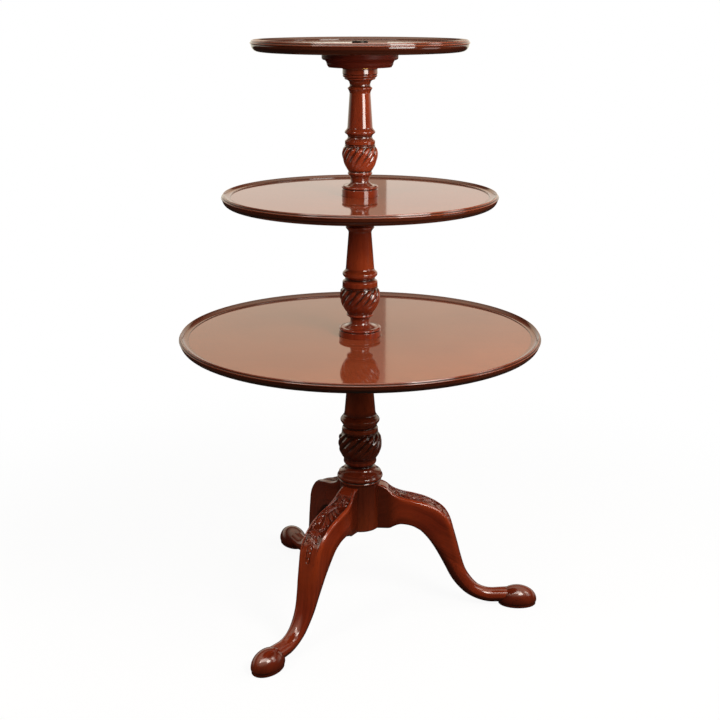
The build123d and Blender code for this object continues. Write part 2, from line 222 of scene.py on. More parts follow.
def worn_metal(name, colour, worn_colour, roughness, spot_size):
    material, tree = new_material(name)
    place = add(tree, "TexCoord")
    spots = add(tree, "TexNoise", {
        "Vector": place.outputs["Object"], "Scale": 1 / spot_size, "Detail": 4.0, "Roughness": 0.6})
    share = add(tree, "MapRange", {
        "Value": spots.outputs["Fac"], "From Min": 0.4, "From Max": 0.7})
    tint = add(tree, "Mix", {
        0: share, 6: linear(colour), 7: linear(worn_colour)}, data_type="RGBA")
    rough = add(tree, "MapRange", {
        "Value": spots.outputs["Fac"], "To Min": roughness + smoothest, "To Max": roughness + roughest})
    bump = add(tree, "Bump", {
        "Height": spots.outputs["Fac"], "Distance": spot_depth, "Strength": 0.6})
    shader = add(tree, "BsdfPrincipled", {
        "Base Color": tint.outputs[2], "Metallic": 1.0, "Roughness": rough,
        "Normal": bump})
    add(tree, "OutputMaterial", {"Surface": shader})
    return material


# Forged iron, blackened: nearly black, with a soft broad shine.
iron = worn_metal("blackened_forged_iron", "#2A2826", "#4A443E", 0.45, 2.5 * mm)
# Steel, dulled with age: a brownish grey.
steel = worn_metal("aged_steel_screws", "#7C7872", "#57504A", 0.4, 1.5 * mm)
# Brass: warm and yellow, with browner spots.
brass = worn_metal("turned_brass", "#C9A25A", "#A9803E", 0.3, 3 * mm)
print("metals:", iron.name, steel.name, brass.name)

# %% [markdown]
# Almost every piece here was made on a lathe, which is a curve swept round an axis. The curve is
# given as rows of radius, height and bulge, where the bulge says how far the stretch that arrives
# there swells out, as a share of its length. A turner never leaves a razor edge, because sandpaper
# takes it off, so each sharp corner is eased by a few tenths of a millimetre. That small round is
# what catches the light along every ring.

# %% Draw a turner's curve
arc_step = 1.2
arc_turn = 0.12
corner_ease = 0.35
flat_margin = 0.3
largest_ease = 0.35
largest_flat = 0.45
sharp_turn = math.radians(14)


def arc_points(start, end, bulge):
    start, end = np.array(start), np.array(end)
    chord = end - start
    length = np.hypot(*chord)
    half_angle = 2 * math.atan(2 * bulge)
    count = max(2, int(math.ceil(length / arc_step)), int(abs(half_angle) / arc_turn))
    share = np.linspace(0, 1, count + 1)[1:, None]
    swing = half_angle * (2 * share - 1)
    out = np.array([chord[1], -chord[0]])
    forward = 0.5 + 0.5 * np.sin(swing) / math.sin(half_angle)
    sideways = 0.5 * (np.cos(swing) - math.cos(half_angle)) / math.sin(half_angle)
    return start + forward * chord + sideways * out


def turner_curve(rows, closed=False):
    points = [np.array(rows[0][:2], float)]
    for (r0, z0, _), (r1, z1, bulge) in zip(rows, rows[1:]):
        if bulge == 0:
            points.append(np.array((r1, z1), float))
        else:
            points.extend(arc_points((r0, z0), (r1, z1), bulge))
    curve = []
    count = len(points)
    for index, point in enumerate(points):
        if not closed and index in (0, count - 1):
            curve.append(point)
            continue
        back = points[index - 1] - point
        ahead = points[(index + 1) % count] - point
        back_length, ahead_length = np.hypot(*back), np.hypot(*ahead)
        turn = math.acos(np.clip(-back.dot(ahead) / back_length / ahead_length, -1, 1))
        if turn < sharp_turn:
            curve.append(point)
            continue
        # Two points round the corner off, and two more keep the flats beside it flat.
        before = point + back * min(corner_ease / back_length, largest_ease)
        after = point + ahead * min(corner_ease / ahead_length, largest_ease)
        flat_before = point + back * min((corner_ease + flat_margin) / back_length, largest_flat)
        flat_after = point + ahead * min((corner_ease + flat_margin) / ahead_length, largest_flat)
        curve.extend([flat_before, before, (before + 2 * point + after) / 4, after, flat_after])
    return np.array(curve)


sample = turner_curve([(0, 0, 0), (10, 0, 0), (10, 10, 0.2), (0, 10, 0)])
print("a sample curve has", len(sample), "points, widest at", round(sample[:, 0].max(), 2), "mm")

# %% [markdown]
# A grid of points becomes a mesh by joining each point to its neighbours with four-sided faces. The
# grid closes round the axis, and it can close the other way too, as for a tray with a hole, or else
# one flat face closes each end. Hollows are found by comparing each ring with the average of the
# rings near it, and they darken the wood: wax, and painted shade.

# %% Make meshes from grids
even_step = 0.25


def eased(value):
    # A soft step from 0 to 1.
    value = np.clip(value, 0, 1)
    return value * value * (3 - 2 * value)


def rises(value, start, over):
    # 0 up to the start, and 1 once the stretch is over.
    return eased((value - start) / over)


def travel_along(points):
    # How far each point of a line is from its start, measured along the line.
    return np.concatenate([[0], np.cumsum(np.hypot(*np.diff(points, axis=0).T))])


def grid_mesh(name, grid, closed_along, painted_light_and_wax, grain=None):
    rows, around, _ = grid.shape
    row_ids = np.arange(rows if closed_along else rows - 1)
    column_ids = np.arange(around)
    first, second = np.meshgrid(row_ids, column_ids, indexing="ij")
    next_row, next_column = (first + 1) % rows, (second + 1) % around
    quads = np.stack([
        first * around + second, first * around + next_column,
        next_row * around + next_column, next_row * around + second], -1).reshape(-1, 4)
    faces = quads.tolist()
    if not closed_along:
        faces.append(list(range(around))[::-1])
        faces.append(list(range((rows - 1) * around, rows * around)))
    mesh = bpy.data.meshes.new(name)
    mesh.from_pydata((grid.reshape(-1, 3) * mm).tolist(), [], faces)
    mesh.shade_smooth()
    # The attribute holds painted shade, with wax in the cuts, above zero, and painted light below it.
    painted_light_layer = mesh.attributes.new("painted_light_and_wax", "FLOAT", "POINT")
    painted_light_layer.data.foreach_set("value", painted_light_and_wax.reshape(-1).astype(np.float32))
    if grain is not None:
        corners = np.empty(len(mesh.loops), np.int64)
        mesh.loops.foreach_get("vertex_index", corners)
        uv = mesh.uv_layers.new(name="grain")
        uv.data.foreach_set("uv", (grain.reshape(-1, 2)[corners] * mm).reshape(-1).astype(np.float32))
    mesh.validate()
    return mesh


def show(name, mesh, material, body, node):
    piece = bpy.data.objects.new(name, mesh)
    piece.data.materials.append(material)
    bpy.context.scene.collection.objects.link(piece)
    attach(piece, body)
    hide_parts(node)


def hollows(curve, reach, full):
    # How far each ring lies below the average over the reach. 1 is a hollow of the full depth.
    travel = travel_along(curve)
    even = np.linspace(0, travel[-1], int(travel[-1] / even_step) + 2)
    radius = np.interp(even, travel, curve[:, 0])
    width = max(3, int(reach / even_step) | 1)
    padded = np.pad(radius, width // 2, mode="edge")
    average = np.convolve(padded, np.ones(width) / width, mode="valid")
    return np.clip(np.interp(travel, even, average - radius) / full, 0, 1)


def spun(curve, around, sink=None):
    angle = np.linspace(0, 2 * math.pi, around, endpoint=False)
    radius = np.repeat(curve[:, :1], around, 1)
    height = np.repeat(curve[:, 1:], around, 1)
    if sink is not None:
        radius = radius - sink(height, angle[None, :])
    return np.stack([radius * np.cos(angle), radius * np.sin(angle), height], -1)


print("the sample curve is", round(travel_along(sample)[-1], 1), "mm long")

# %% [markdown]
# Each tray is one wide board, turned to leave a flat field inside a raised rim. From the field
# outwards there is a small square step, a hollow up to the crest, a rounded lip, a fine groove and
# a bead, and then the board is hollowed away underneath so that it looks thin. Lathing it again
# with many segments keeps the long reflections smooth, which the eye notices first on polish.

# %% The three trays
trays = {
    "bottom": dict(radius=330.0, rim=544.7, dish=6.5, over=38.2, pin=14.0),
    "middle": dict(radius=246.3, rim=799.7, dish=5.0, over=32.0, pin=14.0),
    "top": dict(radius=189.9, rim=1064.1, dish=5.0, over=13.8, pin=9.0),
}
board_thickness = 19.3
seat_depth = 0.8
bead_height = 3.0
bead_drop = 3.5
rim_width = 16.6
tray_segments = 320


def tray_rows(radius, rim, dish, over, pin):
    under = rim - board_thickness
    field = rim - dish
    bead_top = rim - bead_drop
    bead_bottom = bead_top - bead_height
    step_edge = radius - rim_width
    bore = pin + 0.1
    return [
        # The underside, which sweeps up to the bead.
        (bore, under, 0),
        (radius - 13.0, under, 0),
        (radius - 1.7, bead_bottom, 0.2),
        # The bead and the groove above it.
        (radius - 1.0, bead_bottom, 0),
        (radius - 1.0, bead_top, 1 / 3),
        (radius - 1.8, bead_top, 0),
        (radius - 1.8, rim - 2.6, 0),
        # The rounded lip, its crest, and the hollow down to the step.
        (radius - 2.4, rim - 1.1, 0.1),
        (radius - 3.5, rim, 0.2),
        (radius - 4.6, rim - 0.55, 0.1),
        (step_edge, field + 1.2, -0.12),
        # The field, and the shallow seat that the drum of the next turning stands in.
        (step_edge, field, 0),
        (over + 1.0, field, 0),
        (over + 1.0, field - seat_depth, 0),
        (bore, field - seat_depth, 0),
    ]


for tier, sizes in trays.items():
    print(tier, "tray:", len(tray_rows(**sizes)), "rows, field at", sizes["rim"] - sizes["dish"], "mm")

# %% [markdown]
# The rims are painted darker in rings, as painted shade, most in the corner at the step and on the
# faces that turn down below the lip. One table gives this shade against the distance in from the
# edge, and the other against the depth below the crest. The whole underside is painted dark, as
# painted shade.

# %% Turn the trays
# Painted shade on the rims, against the distance in from the edge and the depth below the crest.
rim_shade = np.array([
    (-17.0, 0.0), (-16.6, 0.8), (-15.6, 0.35), (-10.0, 0.35),
    (-7.0, 0.6), (-4.6, 0.65), (-3.5, 0.2),
])
edge_shade = np.array([
    (0.0, 0.2), (1.1, 0.45), (2.6, 0.85), (3.6, 0.85),
    (4.4, 0.2), (5.2, 0.35), (6.2, 0.82),
])
edge_width = 2.5
underside_shade = 0.93

for tier, sizes in trays.items():
    curve = turner_curve(tray_rows(**sizes), closed=True)
    grid = spun(curve, tray_segments)
    outwards, down = curve[:, 0] - sizes["radius"], sizes["rim"] - curve[:, 1]
    on_rim = np.interp(outwards, rim_shade[:, 0], rim_shade[:, 1])
    on_edge = np.interp(down, edge_shade[:, 0], edge_shade[:, 1])
    # The underside is painted dark, as painted shade.
    above = np.where(down < sizes["dish"] + 0.5, on_rim, underside_shade)
    painted_shade = np.where((outwards > -edge_width) & (down > 1), on_edge, above)
    shade = np.repeat(painted_shade[:, None], tray_segments, 1)
    mesh = grid_mesh(tier + "_tray_polished", grid, True, shade)
    show(tier + "_tray_polished", mesh, tray_wood, tier + "_tier", tier + "_tray")
    print(tier, "tray:", len(curve), "rings of", tray_segments, "points")

# %% [markdown]
# The pillar is three turnings stacked end to end, one below each tray. Each rises from a plain
# drum through rings to a carved bulb, and then a slender tapering shaft carries a cap of small
# mouldings. Rows are shares of the turning's height and of its drum's radius, as on a turner's
# story stick, so one stick serves any size.

# %% Story sticks for the pillar
# Each row: share of the height, share of the drum's radius, bulge of the stretch that ends there.
lower_stick = [
    (0.000, 0.930, 0.00), (0.010, 1.000, 0.10), (0.274, 1.000, 0.00), (0.278, 1.020, 0.00),
    (0.288, 1.055, 0.25), (0.292, 1.030, 0.00), (0.299, 1.095, 0.00), (0.317, 1.100, 0.22),
    (0.326, 1.065, 0.00), (0.334, 1.045, 0.00), (0.358, 0.800, -0.10), (0.369, 0.655, -0.10),
    (0.376, 0.690, 0.00), (0.384, 0.775, 0.00), (0.404, 0.800, 0.15), (0.417, 0.815, 0.00),
    (0.501, 1.074, 0.10), (0.566, 0.925, 0.09), (0.571, 0.875, 0.00), (0.576, 0.890, 0.00),
    (0.591, 0.885, 0.00), (0.601, 0.808, -0.08), (0.613, 0.860, -0.05), (0.626, 0.925, -0.05),
    (0.648, 0.930, 0.20), (0.661, 0.850, -0.03), (0.672, 0.785, -0.08), (0.700, 0.750, -0.02),
    (0.866, 0.620, 0.00), (0.877, 0.650, -0.05), (0.890, 0.740, 0.00), (0.908, 0.740, 0.30),
    (0.920, 0.640, -0.15), (0.938, 0.680, -0.10), (0.950, 0.800, 0.00), (0.958, 0.930, 0.20),
    (0.964, 0.915, 0.00), (0.973, 1.010, 0.15), (0.978, 1.000, 0.00), (0.983, 1.050, 0.00),
    (1.000, 1.060, 0.00),
]
middle_stick = [
    (0.000, 1.000, 0.00), (0.046, 1.000, 0.00), (0.051, 0.960, 0.00), (0.055, 0.975, 0.00),
    (0.071, 0.990, 0.30), (0.077, 0.930, 0.00), (0.100, 0.520, -0.12), (0.132, 0.466, -0.08),
    (0.150, 0.475, -0.03), (0.163, 0.535, 0.00), (0.170, 0.610, 0.00), (0.188, 0.620, 0.25),
    (0.203, 0.635, 0.00), (0.334, 0.968, 0.09), (0.413, 0.865, 0.07), (0.418, 0.815, 0.00),
    (0.422, 0.835, 0.00), (0.458, 0.830, 0.00), (0.466, 0.790, 0.15), (0.481, 0.695, -0.10),
    (0.495, 0.730, -0.05), (0.506, 0.790, -0.05), (0.540, 0.790, 0.20), (0.553, 0.715, -0.05),
    (0.574, 0.672, -0.10), (0.862, 0.540, 0.00), (0.880, 0.565, -0.05), (0.897, 0.640, 0.00),
    (0.917, 0.640, 0.30), (0.930, 0.580, -0.15), (0.945, 0.620, -0.10), (0.955, 0.720, 0.00),
    (0.962, 0.830, 0.20), (0.968, 0.815, 0.00), (0.976, 0.905, 0.15), (0.981, 0.895, 0.00),
    (0.985, 0.950, 0.00), (1.000, 0.965, 0.00),
]
upper_stick = [
    (0.000, 1.000, 0.00), (0.054, 1.000, 0.00), (0.060, 0.955, 0.00), (0.064, 0.975, 0.00),
    (0.080, 0.990, 0.30), (0.087, 0.930, 0.00), (0.108, 0.555, -0.15), (0.135, 0.516, -0.08),
    (0.162, 0.570, -0.08), (0.172, 0.640, 0.00), (0.194, 0.645, 0.25), (0.200, 0.640, 0.00),
    (0.331, 0.992, 0.07), (0.404, 0.870, 0.08), (0.410, 0.800, 0.00), (0.414, 0.833, 0.00),
    (0.434, 0.835, 0.00), (0.442, 0.815, 0.15), (0.472, 0.668, -0.12), (0.484, 0.700, -0.05),
    (0.496, 0.800, -0.05), (0.520, 0.800, 0.27), (0.530, 0.745, -0.05), (0.547, 0.695, -0.10),
    (0.806, 0.575, 0.00), (0.818, 0.585, -0.03), (0.836, 0.635, 0.00), (0.855, 0.625, 0.35),
    (0.868, 0.565, -0.15), (0.888, 0.585, -0.08), (0.905, 0.650, -0.10), (0.912, 0.755, 0.00),
    (0.922, 0.850, 0.20), (0.928, 0.835, 0.00), (0.934, 0.905, 0.15), (0.946, 0.945, 0.15),
    (0.952, 0.925, 0.00), (0.958, 0.960, 0.00), (0.993, 0.950, 0.00), (1.000, 0.985, 0.00),
]
print("rows on the sticks:", len(lower_stick), len(middle_stick), len(upper_stick))

# %% [markdown]
# The bulb of each turning is carved with lobes that wind round it like the strands of a rope, which
# carvers call wrythen work. Across one lobe the surface is a round back between two sharp cuts, part
# arc and part wave. The winding runs up to the right, by about fifty degrees. Each lobe ends in a
# rounded head at the top and fades out downwards. Cutting into the turned bulb, never out of it,
# keeps its size.

# %% Carve the winding lobes
arc_share = 0.6
head_length = 0.18
head_curve = 0.45
foot_start = 0.04
foot_length = 0.55
crown_length = 0.03


def wrythen_lobes(low, high, count, slope_degrees, mean_radius, depth):
    turn_per_mm = 1 / (mean_radius * math.tan(math.radians(slope_degrees)))

    def sink(height, angle):
        share = (height - low) / (high - low)
        phase = count * (angle - (height - low) * turn_per_mm) / (2 * math.pi)
        across = 2 * (phase % 1.0) - 1
        wave = 0.5 + 0.5 * np.cos(math.pi * across)
        back = arc_share * (1 - across ** 2) + (1 - arc_share) * wave
        head = eased((1 - share) / head_length - head_curve * across ** 2)
        fade = rises(share, foot_start, foot_length) * eased((1 - share) / crown_length)
        inside = (share > 0) & (share < 1)
        return np.where(inside, depth * fade * (1 - back * head), 0.0)

    return sink


sample_cuts = wrythen_lobes(0.0, 35.0, 14, 50, 30.0, 3.0)(np.array(17.5), np.linspace(0, 1, 99))
print("half way up a sample bulb the cuts are", round(sample_cuts.max(), 2), "mm deep")

# %% [markdown]
# Each turning gets its sizes in millimetres, and where on its stick the bulb and the shaft are. The
# bulb's rows are drawn again close together, because the cuts need them. Every hollow and cut is
# darker: wax, and painted shade. The mouldings and bulbs are darker than the shafts. The lower
# turning and the two lower bulbs carry painted shade, as under the trays, and the middle turning and
# the upper bulb carry painted light.

# %% Turn and carve the pillar
# The tone offset and the bulb shading paint shade low down under the trays and light higher up.
turnings = {
    "lower": dict(
        stick=lower_stick, low=160.0, high=497.1, drum=38.0, pin=14.0, pin_top=537.7,
        bulb=(0.412, 0.568), shaft=(0.700, 0.866), slope=46, depth=3.4, tone_offset=0.08, bulb_shading=0.3),
    "middle": dict(
        stick=middle_stick, low=537.7, high=758.9, drum=38.2, pin=14.0, pin_top=794.2,
        bulb=(0.200, 0.414), shaft=(0.574, 0.862), slope=50, depth=3.0, tone_offset=-0.15, bulb_shading=0.2),
    "upper": dict(
        stick=upper_stick, low=794.2, high=1016.5, drum=32.0, pin=9.0, pin_top=1058.6,
        bulb=(0.198, 0.405), shaft=(0.547, 0.806), slope=55, depth=2.5, tone_offset=0.0, bulb_shading=-0.15),
}
lobe_count = 14
points_per_lobe = 22
carving_step = 0.55
axis_gap = 1.0
moulding_darkening = 0.33
shaft_blend = 0.03
bulb_margin = 3.0
around = lobe_count * points_per_lobe
angle = np.linspace(0, 2 * math.pi, around, endpoint=False)

for name, sizes in turnings.items():
    low, high = sizes["low"], sizes["high"]
    rows = [(share_r * sizes["drum"], low + share_h * (high - low), bulge)
            for share_h, share_r, bulge in sizes["stick"]]
    pin = [(sizes["pin"], high, 0), (sizes["pin"], sizes["pin_top"], 0), (axis_gap, sizes["pin_top"], 0)]
    curve = turner_curve([(axis_gap, low, 0)] + rows + pin)
    bulb_low, bulb_high = (low + share * (high - low) for share in sizes["bulb"])
    extra = np.arange(bulb_low, bulb_high, carving_step)
    bulb = np.stack([np.interp(extra, curve[:, 1], curve[:, 0]), extra], 1)
    curve = np.concatenate([curve[curve[:, 1] <= bulb_low], bulb[1:], curve[curve[:, 1] >= bulb_high]])
    sink = wrythen_lobes(bulb_low, bulb_high, lobe_count, sizes["slope"],
                         bulb[:, 0].mean(), sizes["depth"])
    grid = spun(curve, around, sink)
    cut = sink(np.repeat(curve[:, 1:], around, 1), angle[None, :]) / sizes["depth"]
    # Hollows and the carved cuts are darkened: wax, and painted shade.
    wide_hollows = 0.9 * hollows(curve, 10.0, 1.0)
    fine_hollows = 0.95 * hollows(curve, 3.0, 0.25)
    painted_shade = np.maximum(wide_hollows, fine_hollows)
    painted_light_and_wax = np.maximum(painted_shade[:, None], 0.8 * rises(cut, 0.3, 0.6))
    share = (curve[:, 1] - low) / (high - low)
    past_shaft = np.maximum(sizes["shaft"][0] - share, share - sizes["shaft"][1])
    off_shaft = eased(past_shaft / shaft_blend)
    inside_bulb = np.minimum(curve[:, 1] - bulb_low, bulb_high - curve[:, 1])
    on_bulb = eased(inside_bulb / bulb_margin)
    # Painted shade on the lower turning and lower bulbs, painted light on the middle turning and upper
    # bulb.
    painted_tone = sizes["tone_offset"] + moulding_darkening * off_shaft + sizes["bulb_shading"] * on_bulb
    painted_light_and_wax = painted_light_and_wax + painted_tone[:, None] * (1 - painted_light_and_wax)
    mesh = grid_mesh(name + "_column_turned", grid, False, painted_light_and_wax)
    show(name + "_column_turned", mesh, pillar_wood, "stand", name + "_column")
    print(name, "turning:", len(curve), "rings of", around, "points")

# %% [markdown]
# A cabriole leg is sawn from a thick plank and shaped by hand. It leaves the hub nearly level, bends
# over the knee, runs down the shin and turns out at the ankle. Its section changes on the way: flat
# faces with crisp edges at the knee, almost round at the ankle. The rows give each section's upper
# edge, lower edge, width and how round its corners are, and a smooth curve runs through them.

# %% The line of a leg
# The toe's reach from the pillar's axis, the height at which a leg meets the hub, the widest knee.
foot_reach = 343.5
leg_rise = 251.5
knee_width = 47.0
# Each row: upper edge out and up, lower edge out and up, width, and how round the corners are.
leg_rows = np.array([
    (0.087, 1.000, 0.087, 0.624, 0.70, 0.16),
    (0.140, 0.970, 0.151, 0.624, 0.73, 0.16),
    (0.180, 0.923, 0.192, 0.661, 0.87, 0.16),
    (0.233, 0.891, 0.230, 0.679, 0.96, 0.16),
    (0.309, 0.867, 0.285, 0.669, 1.00, 0.16),
    (0.384, 0.834, 0.329, 0.638, 0.98, 0.17),
    (0.457, 0.772, 0.352, 0.610, 0.96, 0.18),
    (0.501, 0.689, 0.384, 0.558, 0.94, 0.20),
    (0.527, 0.586, 0.416, 0.487, 0.91, 0.35),
    (0.549, 0.483, 0.445, 0.412, 0.89, 0.55),
    (0.568, 0.388, 0.475, 0.329, 0.84, 0.75),
    (0.592, 0.289, 0.509, 0.234, 0.77, 0.90),
    (0.623, 0.218, 0.550, 0.154, 0.70, 0.95),
    (0.661, 0.160, 0.597, 0.091, 0.66, 0.96),
    (0.699, 0.131, 0.652, 0.048, 0.64, 0.96),
    (0.739, 0.119, 0.719, 0.022, 0.65, 0.96),
    (0.786, 0.121, 0.780, 0.022, 0.68, 0.96),
    (0.844, 0.125, 0.844, 0.026, 0.72, 0.96),
])
leg_rows[:, [0, 2]] *= foot_reach
leg_rows[:, [1, 3]] *= leg_rise
leg_rows[:, 4] *= knee_width


def through(rows, at):
    # A smooth curve through every row, read at places that count the rows from 0.
    slope = np.gradient(rows, axis=0)
    index = np.clip(np.floor(at).astype(int), 0, len(rows) - 2)
    t = (at - index)[:, None]
    start, end = rows[index], rows[index + 1]
    start_slope, end_slope = slope[index], slope[index + 1]
    return ((2 * t ** 3 - 3 * t ** 2 + 1) * start + (t ** 3 - 2 * t ** 2 + t) * start_slope
            + (3 * t ** 2 - 2 * t ** 3) * end + (t ** 3 - t ** 2) * end_slope)


# Places are millimetres along the top of the leg, counted from where it leaves the hub, which is
# among the first points of the fine line.
hub_radius = 38.0
first_points = 200
carved_end = 190.0
carved_step = 0.6
plain_step = 2.0
fine = np.linspace(0, len(leg_rows) - 1, 4000)
top_edge = through(leg_rows, fine)[:, :2]
travel = travel_along(top_edge)
travel = travel - np.interp(hub_radius, top_edge[:first_points, 0], travel[:first_points])
places = np.concatenate([
    np.arange(travel[0], carved_end, carved_step),
    np.arange(carved_end, travel[-1], plain_step),
    [travel[-1]],
])
stations = through(leg_rows, np.interp(places, travel, fine))
print("a leg is", round(travel[-1]), "mm along its top, in", len(places), "sections")

# %% [markdown]
# The knee is carved in low relief between two beads that follow its edges. From the hub outwards:
# a short plain panel, a rosette, a long leaf with a winding midrib and curling lobes on both sides,
# a small fan of leaf tips turned the other way, and a drop of three husks down the shin. A carver
# sinks the ground first and leaves the leaf standing, so the relief is a height over a sunk ground.
# Each lobe is a mound, longer than it is wide, with a vein cut down its middle, and where mounds
# meet, the higher one wins, which gives the crisp overlaps of real carving. All sizes are in
# millimetres: s runs along the leg from the hub, q runs across it, and heights are over the ground.

# %% Marks of the gouge
vein_width = 0.55


def rounded(offset):
    # The height of a half-round bead across its width, which runs from -1 to 1.
    return np.sqrt(np.clip(1 - offset ** 2, 0, None))


def gouged(offset):
    # The depth of a soft groove, which is nearly gone at -2 and 2.
    return np.exp(-offset ** 2)


def carved_leaf(s, q, base, tip, width, height, vein):
    # A leaf lobe from its stem to its tip: widest past the middle, highest near the tip.
    run_s, run_q = tip[0] - base[0], tip[1] - base[1]
    length = math.hypot(run_s, run_q)
    along = ((s - base[0]) * run_s + (q - base[1]) * run_q) / length ** 2
    across = (-(s - base[0]) * run_q + (q - base[1]) * run_s) / length
    inside = np.clip(along, 0, 1)
    half = width * np.sqrt(np.clip(1 - (2 * inside ** 1.4 - 1) ** 2, 1e-4, None))
    level = np.clip(1 - (across / half) ** 2, 0, None) * (along > 0) * (along < 1)
    body = height * (0.5 + 0.5 * inside) * np.sqrt(level)
    return body - vein * gouged(across / vein_width) * (level > 0.2) * (inside < 0.8)


def fan(s, q, heart, tips, height):
    raised = np.zeros_like(s)
    for angle, length, width in tips:
        a = math.radians(angle)
        tip = (heart[0] + length * math.cos(a), heart[1] + length * math.sin(a))
        raised = np.maximum(raised, carved_leaf(s, q, heart, tip, width, height, 0.5))
    return raised


test_s, test_q = np.meshgrid(np.linspace(0, 190, 300), np.linspace(-20, 20, 80), indexing="ij")
test_leaf = carved_leaf(test_s, test_q, (50, 0), (70, 0), 4.0, 2.9, 0.9)
print("one leaf stands", round(test_leaf.max(), 2), "mm high")

# %% [markdown]
# At the hub's end of the knee sits a rosette of six petals round a boss, with leaf buds in the corners
# of its panel. The long leaf starts below it. Its midrib swings from one side to the other, and each
# lobe is given by its stem, its tip and its half width.

# %% The rosette and the long leaf
rosette_heart = (34.0, 2.5)
rosette_buds = [(-150, 17.0, 2.6), (-118, 15.0, 2.8), (-70, 17.0, 2.8), (-35, 15.0, 2.6)]
petal_ring = 7.2
petal_half = 5.0
boss_radius = 2.4
right_lobes = [
    ((51, -3), (63, 12), 3.2), ((58, -4), (75, 12), 3.2), ((67, -4), (88, 12.5), 3.4),
    ((79, -3), (103, 12.5), 3.9), ((92, 0), (113, 10), 3.3), ((103, 2), (119, 4), 2.8),
]
left_lobes = [
    ((47, -8), (53, -18), 3.0), ((53, -8), (63, -18.5), 3.0), ((60, -8.5), (74, -18.5), 3.4),
    ((70, -9), (87, -18), 3.6), ((82, -8.5), (102, -17.5), 4.2), ((92, -6), (111, -14.5), 3.8),
]


def rosette(s, q):
    out_s, out_q = s - rosette_heart[0], q - rosette_heart[1]
    ring = np.hypot(out_s, out_q)
    petal = 0.5 + 0.5 * np.cos(6 * np.arctan2(out_q, out_s))
    petals = 2.7 * petal * rounded((ring - petal_ring) / petal_half)
    boss = 2.8 * rounded(ring / boss_radius)
    buds = fan(s, q, rosette_heart, rosette_buds, 2.1) * (ring > 8)
    return np.maximum.reduce([petals, boss, buds])


def long_leaf(s, q):
    swing = np.clip((s - 47) / 70, 0, 1)
    midrib = -3.0 - 4.5 * np.sin(math.pi * np.clip(swing * 1.6, 0, 1)) + 10.5 * rises(swing, 0.35, 0.65)
    rib_width = 1.9 - 0.6 * np.clip((s - 46) / 72, 0, 1)
    rib = 3.1 * rounded((q - midrib) / rib_width)
    leaf = rib * rises(s, 45, 4) * (1 - rises(s, 114, 4))
    for lobes, height in ((right_lobes, 2.9), (left_lobes, 2.8)):
        for base, tip, width in lobes:
            leaf = np.maximum(leaf, carved_leaf(s, q, base, tip, width, height, 0.9))
    return leaf


print("the long leaf has", len(right_lobes) + len(left_lobes), "lobes")

# %% [markdown]
# The leaf ends in a curl, which is a ribbed ring with a pit inside it. Beyond it three fans of tips
# overlap, each from a heart of its own, and then the husks hang one below the other. A shallow moat
# round each husk makes it stand out from the plain shin.

# %% The curl, the fans and the husks
curl_centre = (108.5, -4.5)
curl_radius = 10.5
curl_half = 1.8
curl_facing = 0.35
fans = [
    ((120.0, -1.5), [(angle, 15.0, 3.0) for angle in (-66, -42, -18, 6, 30, 54)], 2.8),
    ((132.0, -1.0), [(angle, 17.0, 2.8) for angle in (-44, -22, 0, 22, 44)], 2.5),
    ((143.0, -0.8), [(angle, 12.0, 2.2) for angle in (-34, 0, 34)], 2.1),
]
husks = [(151.0, 162.5, 4.2), (161.5, 173.0, 3.5), (172.5, 182.5, 2.8)]
husk_line = -0.5


def curl_and_fans(s, q, height):
    out_s, out_q = s - curl_centre[0], q - curl_centre[1]
    ring = np.hypot(out_s, out_q)
    turn = np.arctan2(out_q, out_s)
    curl = 3.0 * rounded((ring - curl_radius) / curl_half)
    curl = curl * (0.8 + 0.2 * np.cos(14 * turn)) * (np.abs(turn + curl_facing) < 1.75)
    pit = gouged((ring - 5.5) / 2.0) * (np.abs(turn + curl_facing) < 1.6)
    cleared = (ring < curl_radius) * (s > 103) * (q < 3)
    height = np.maximum(height * (1 - 0.9 * cleared), curl) - 0.5 * pit
    tips = np.maximum.reduce([fan(s, q, *row) for row in fans])
    return np.maximum(height, tips * (ring > curl_radius + curl_half) * (s > 120))


def husk_drop(s, q):
    drop = np.zeros_like(s)
    moat = np.zeros_like(s)
    for start, end, width in husks:
        drop = np.maximum(drop, carved_leaf(s, q, (start, husk_line), (end, husk_line), width, 1.3, 0.5))
        shore = np.hypot((s - (start + end) / 2) / (end - start) * 1.7, (q - husk_line) / (width + 2.2))
        moat = np.maximum(moat, eased((1.15 - shore) / 0.35))
    return drop - 0.9 * moat * (drop < 0.1)


print("the knee has", len(fans), "fans and", len(husks), "husks")

# %% [markdown]
# The ground of the panel is sunk between the rails, and the ornament is added to it. The whole face
# is slightly crowned, as a scraper leaves it.

# %% Carve the knee
ground_depth = 2.0
bead_inset = 4.0
bead_half = 1.6
groove_inset = 6.1
groove_half = 0.7
panel_inset = 5.9


def knee_relief(s, q, half_width):
    edge = half_width - np.abs(q)
    bead = 1.2 * rounded((edge - bead_inset) / bead_half)
    groove = 1.6 * gouged((edge - groove_inset) / groove_half) * rises(s, 17, 4)
    rails = (bead - groove) * rises(s, 0, 4) * (1 - rises(s, 135, 40))
    panel = rises(edge, panel_inset, 0.8) * rises(s, 19, 3) * (1 - rises(s, 142, 12))
    ornament = curl_and_fans(s, q, np.maximum(rosette(s, q), long_leaf(s, q)))
    carved = panel * (ornament - ground_depth) + rises(s, 146, 6) * husk_drop(s, q)
    crown = 0.8 * (1 - (q / half_width) ** 2) * rises(s, 0, 20) * (1 - rises(s, 150, 40))
    return carved + rails + crown


def softened(field, reach):
    # A running average over reach points, along and across.
    kernel = np.ones(reach) / reach

    def average(line):
        return np.convolve(np.pad(line, reach // 2, mode="edge"), kernel, mode="valid")

    return np.apply_along_axis(average, 1, np.apply_along_axis(average, 0, field))


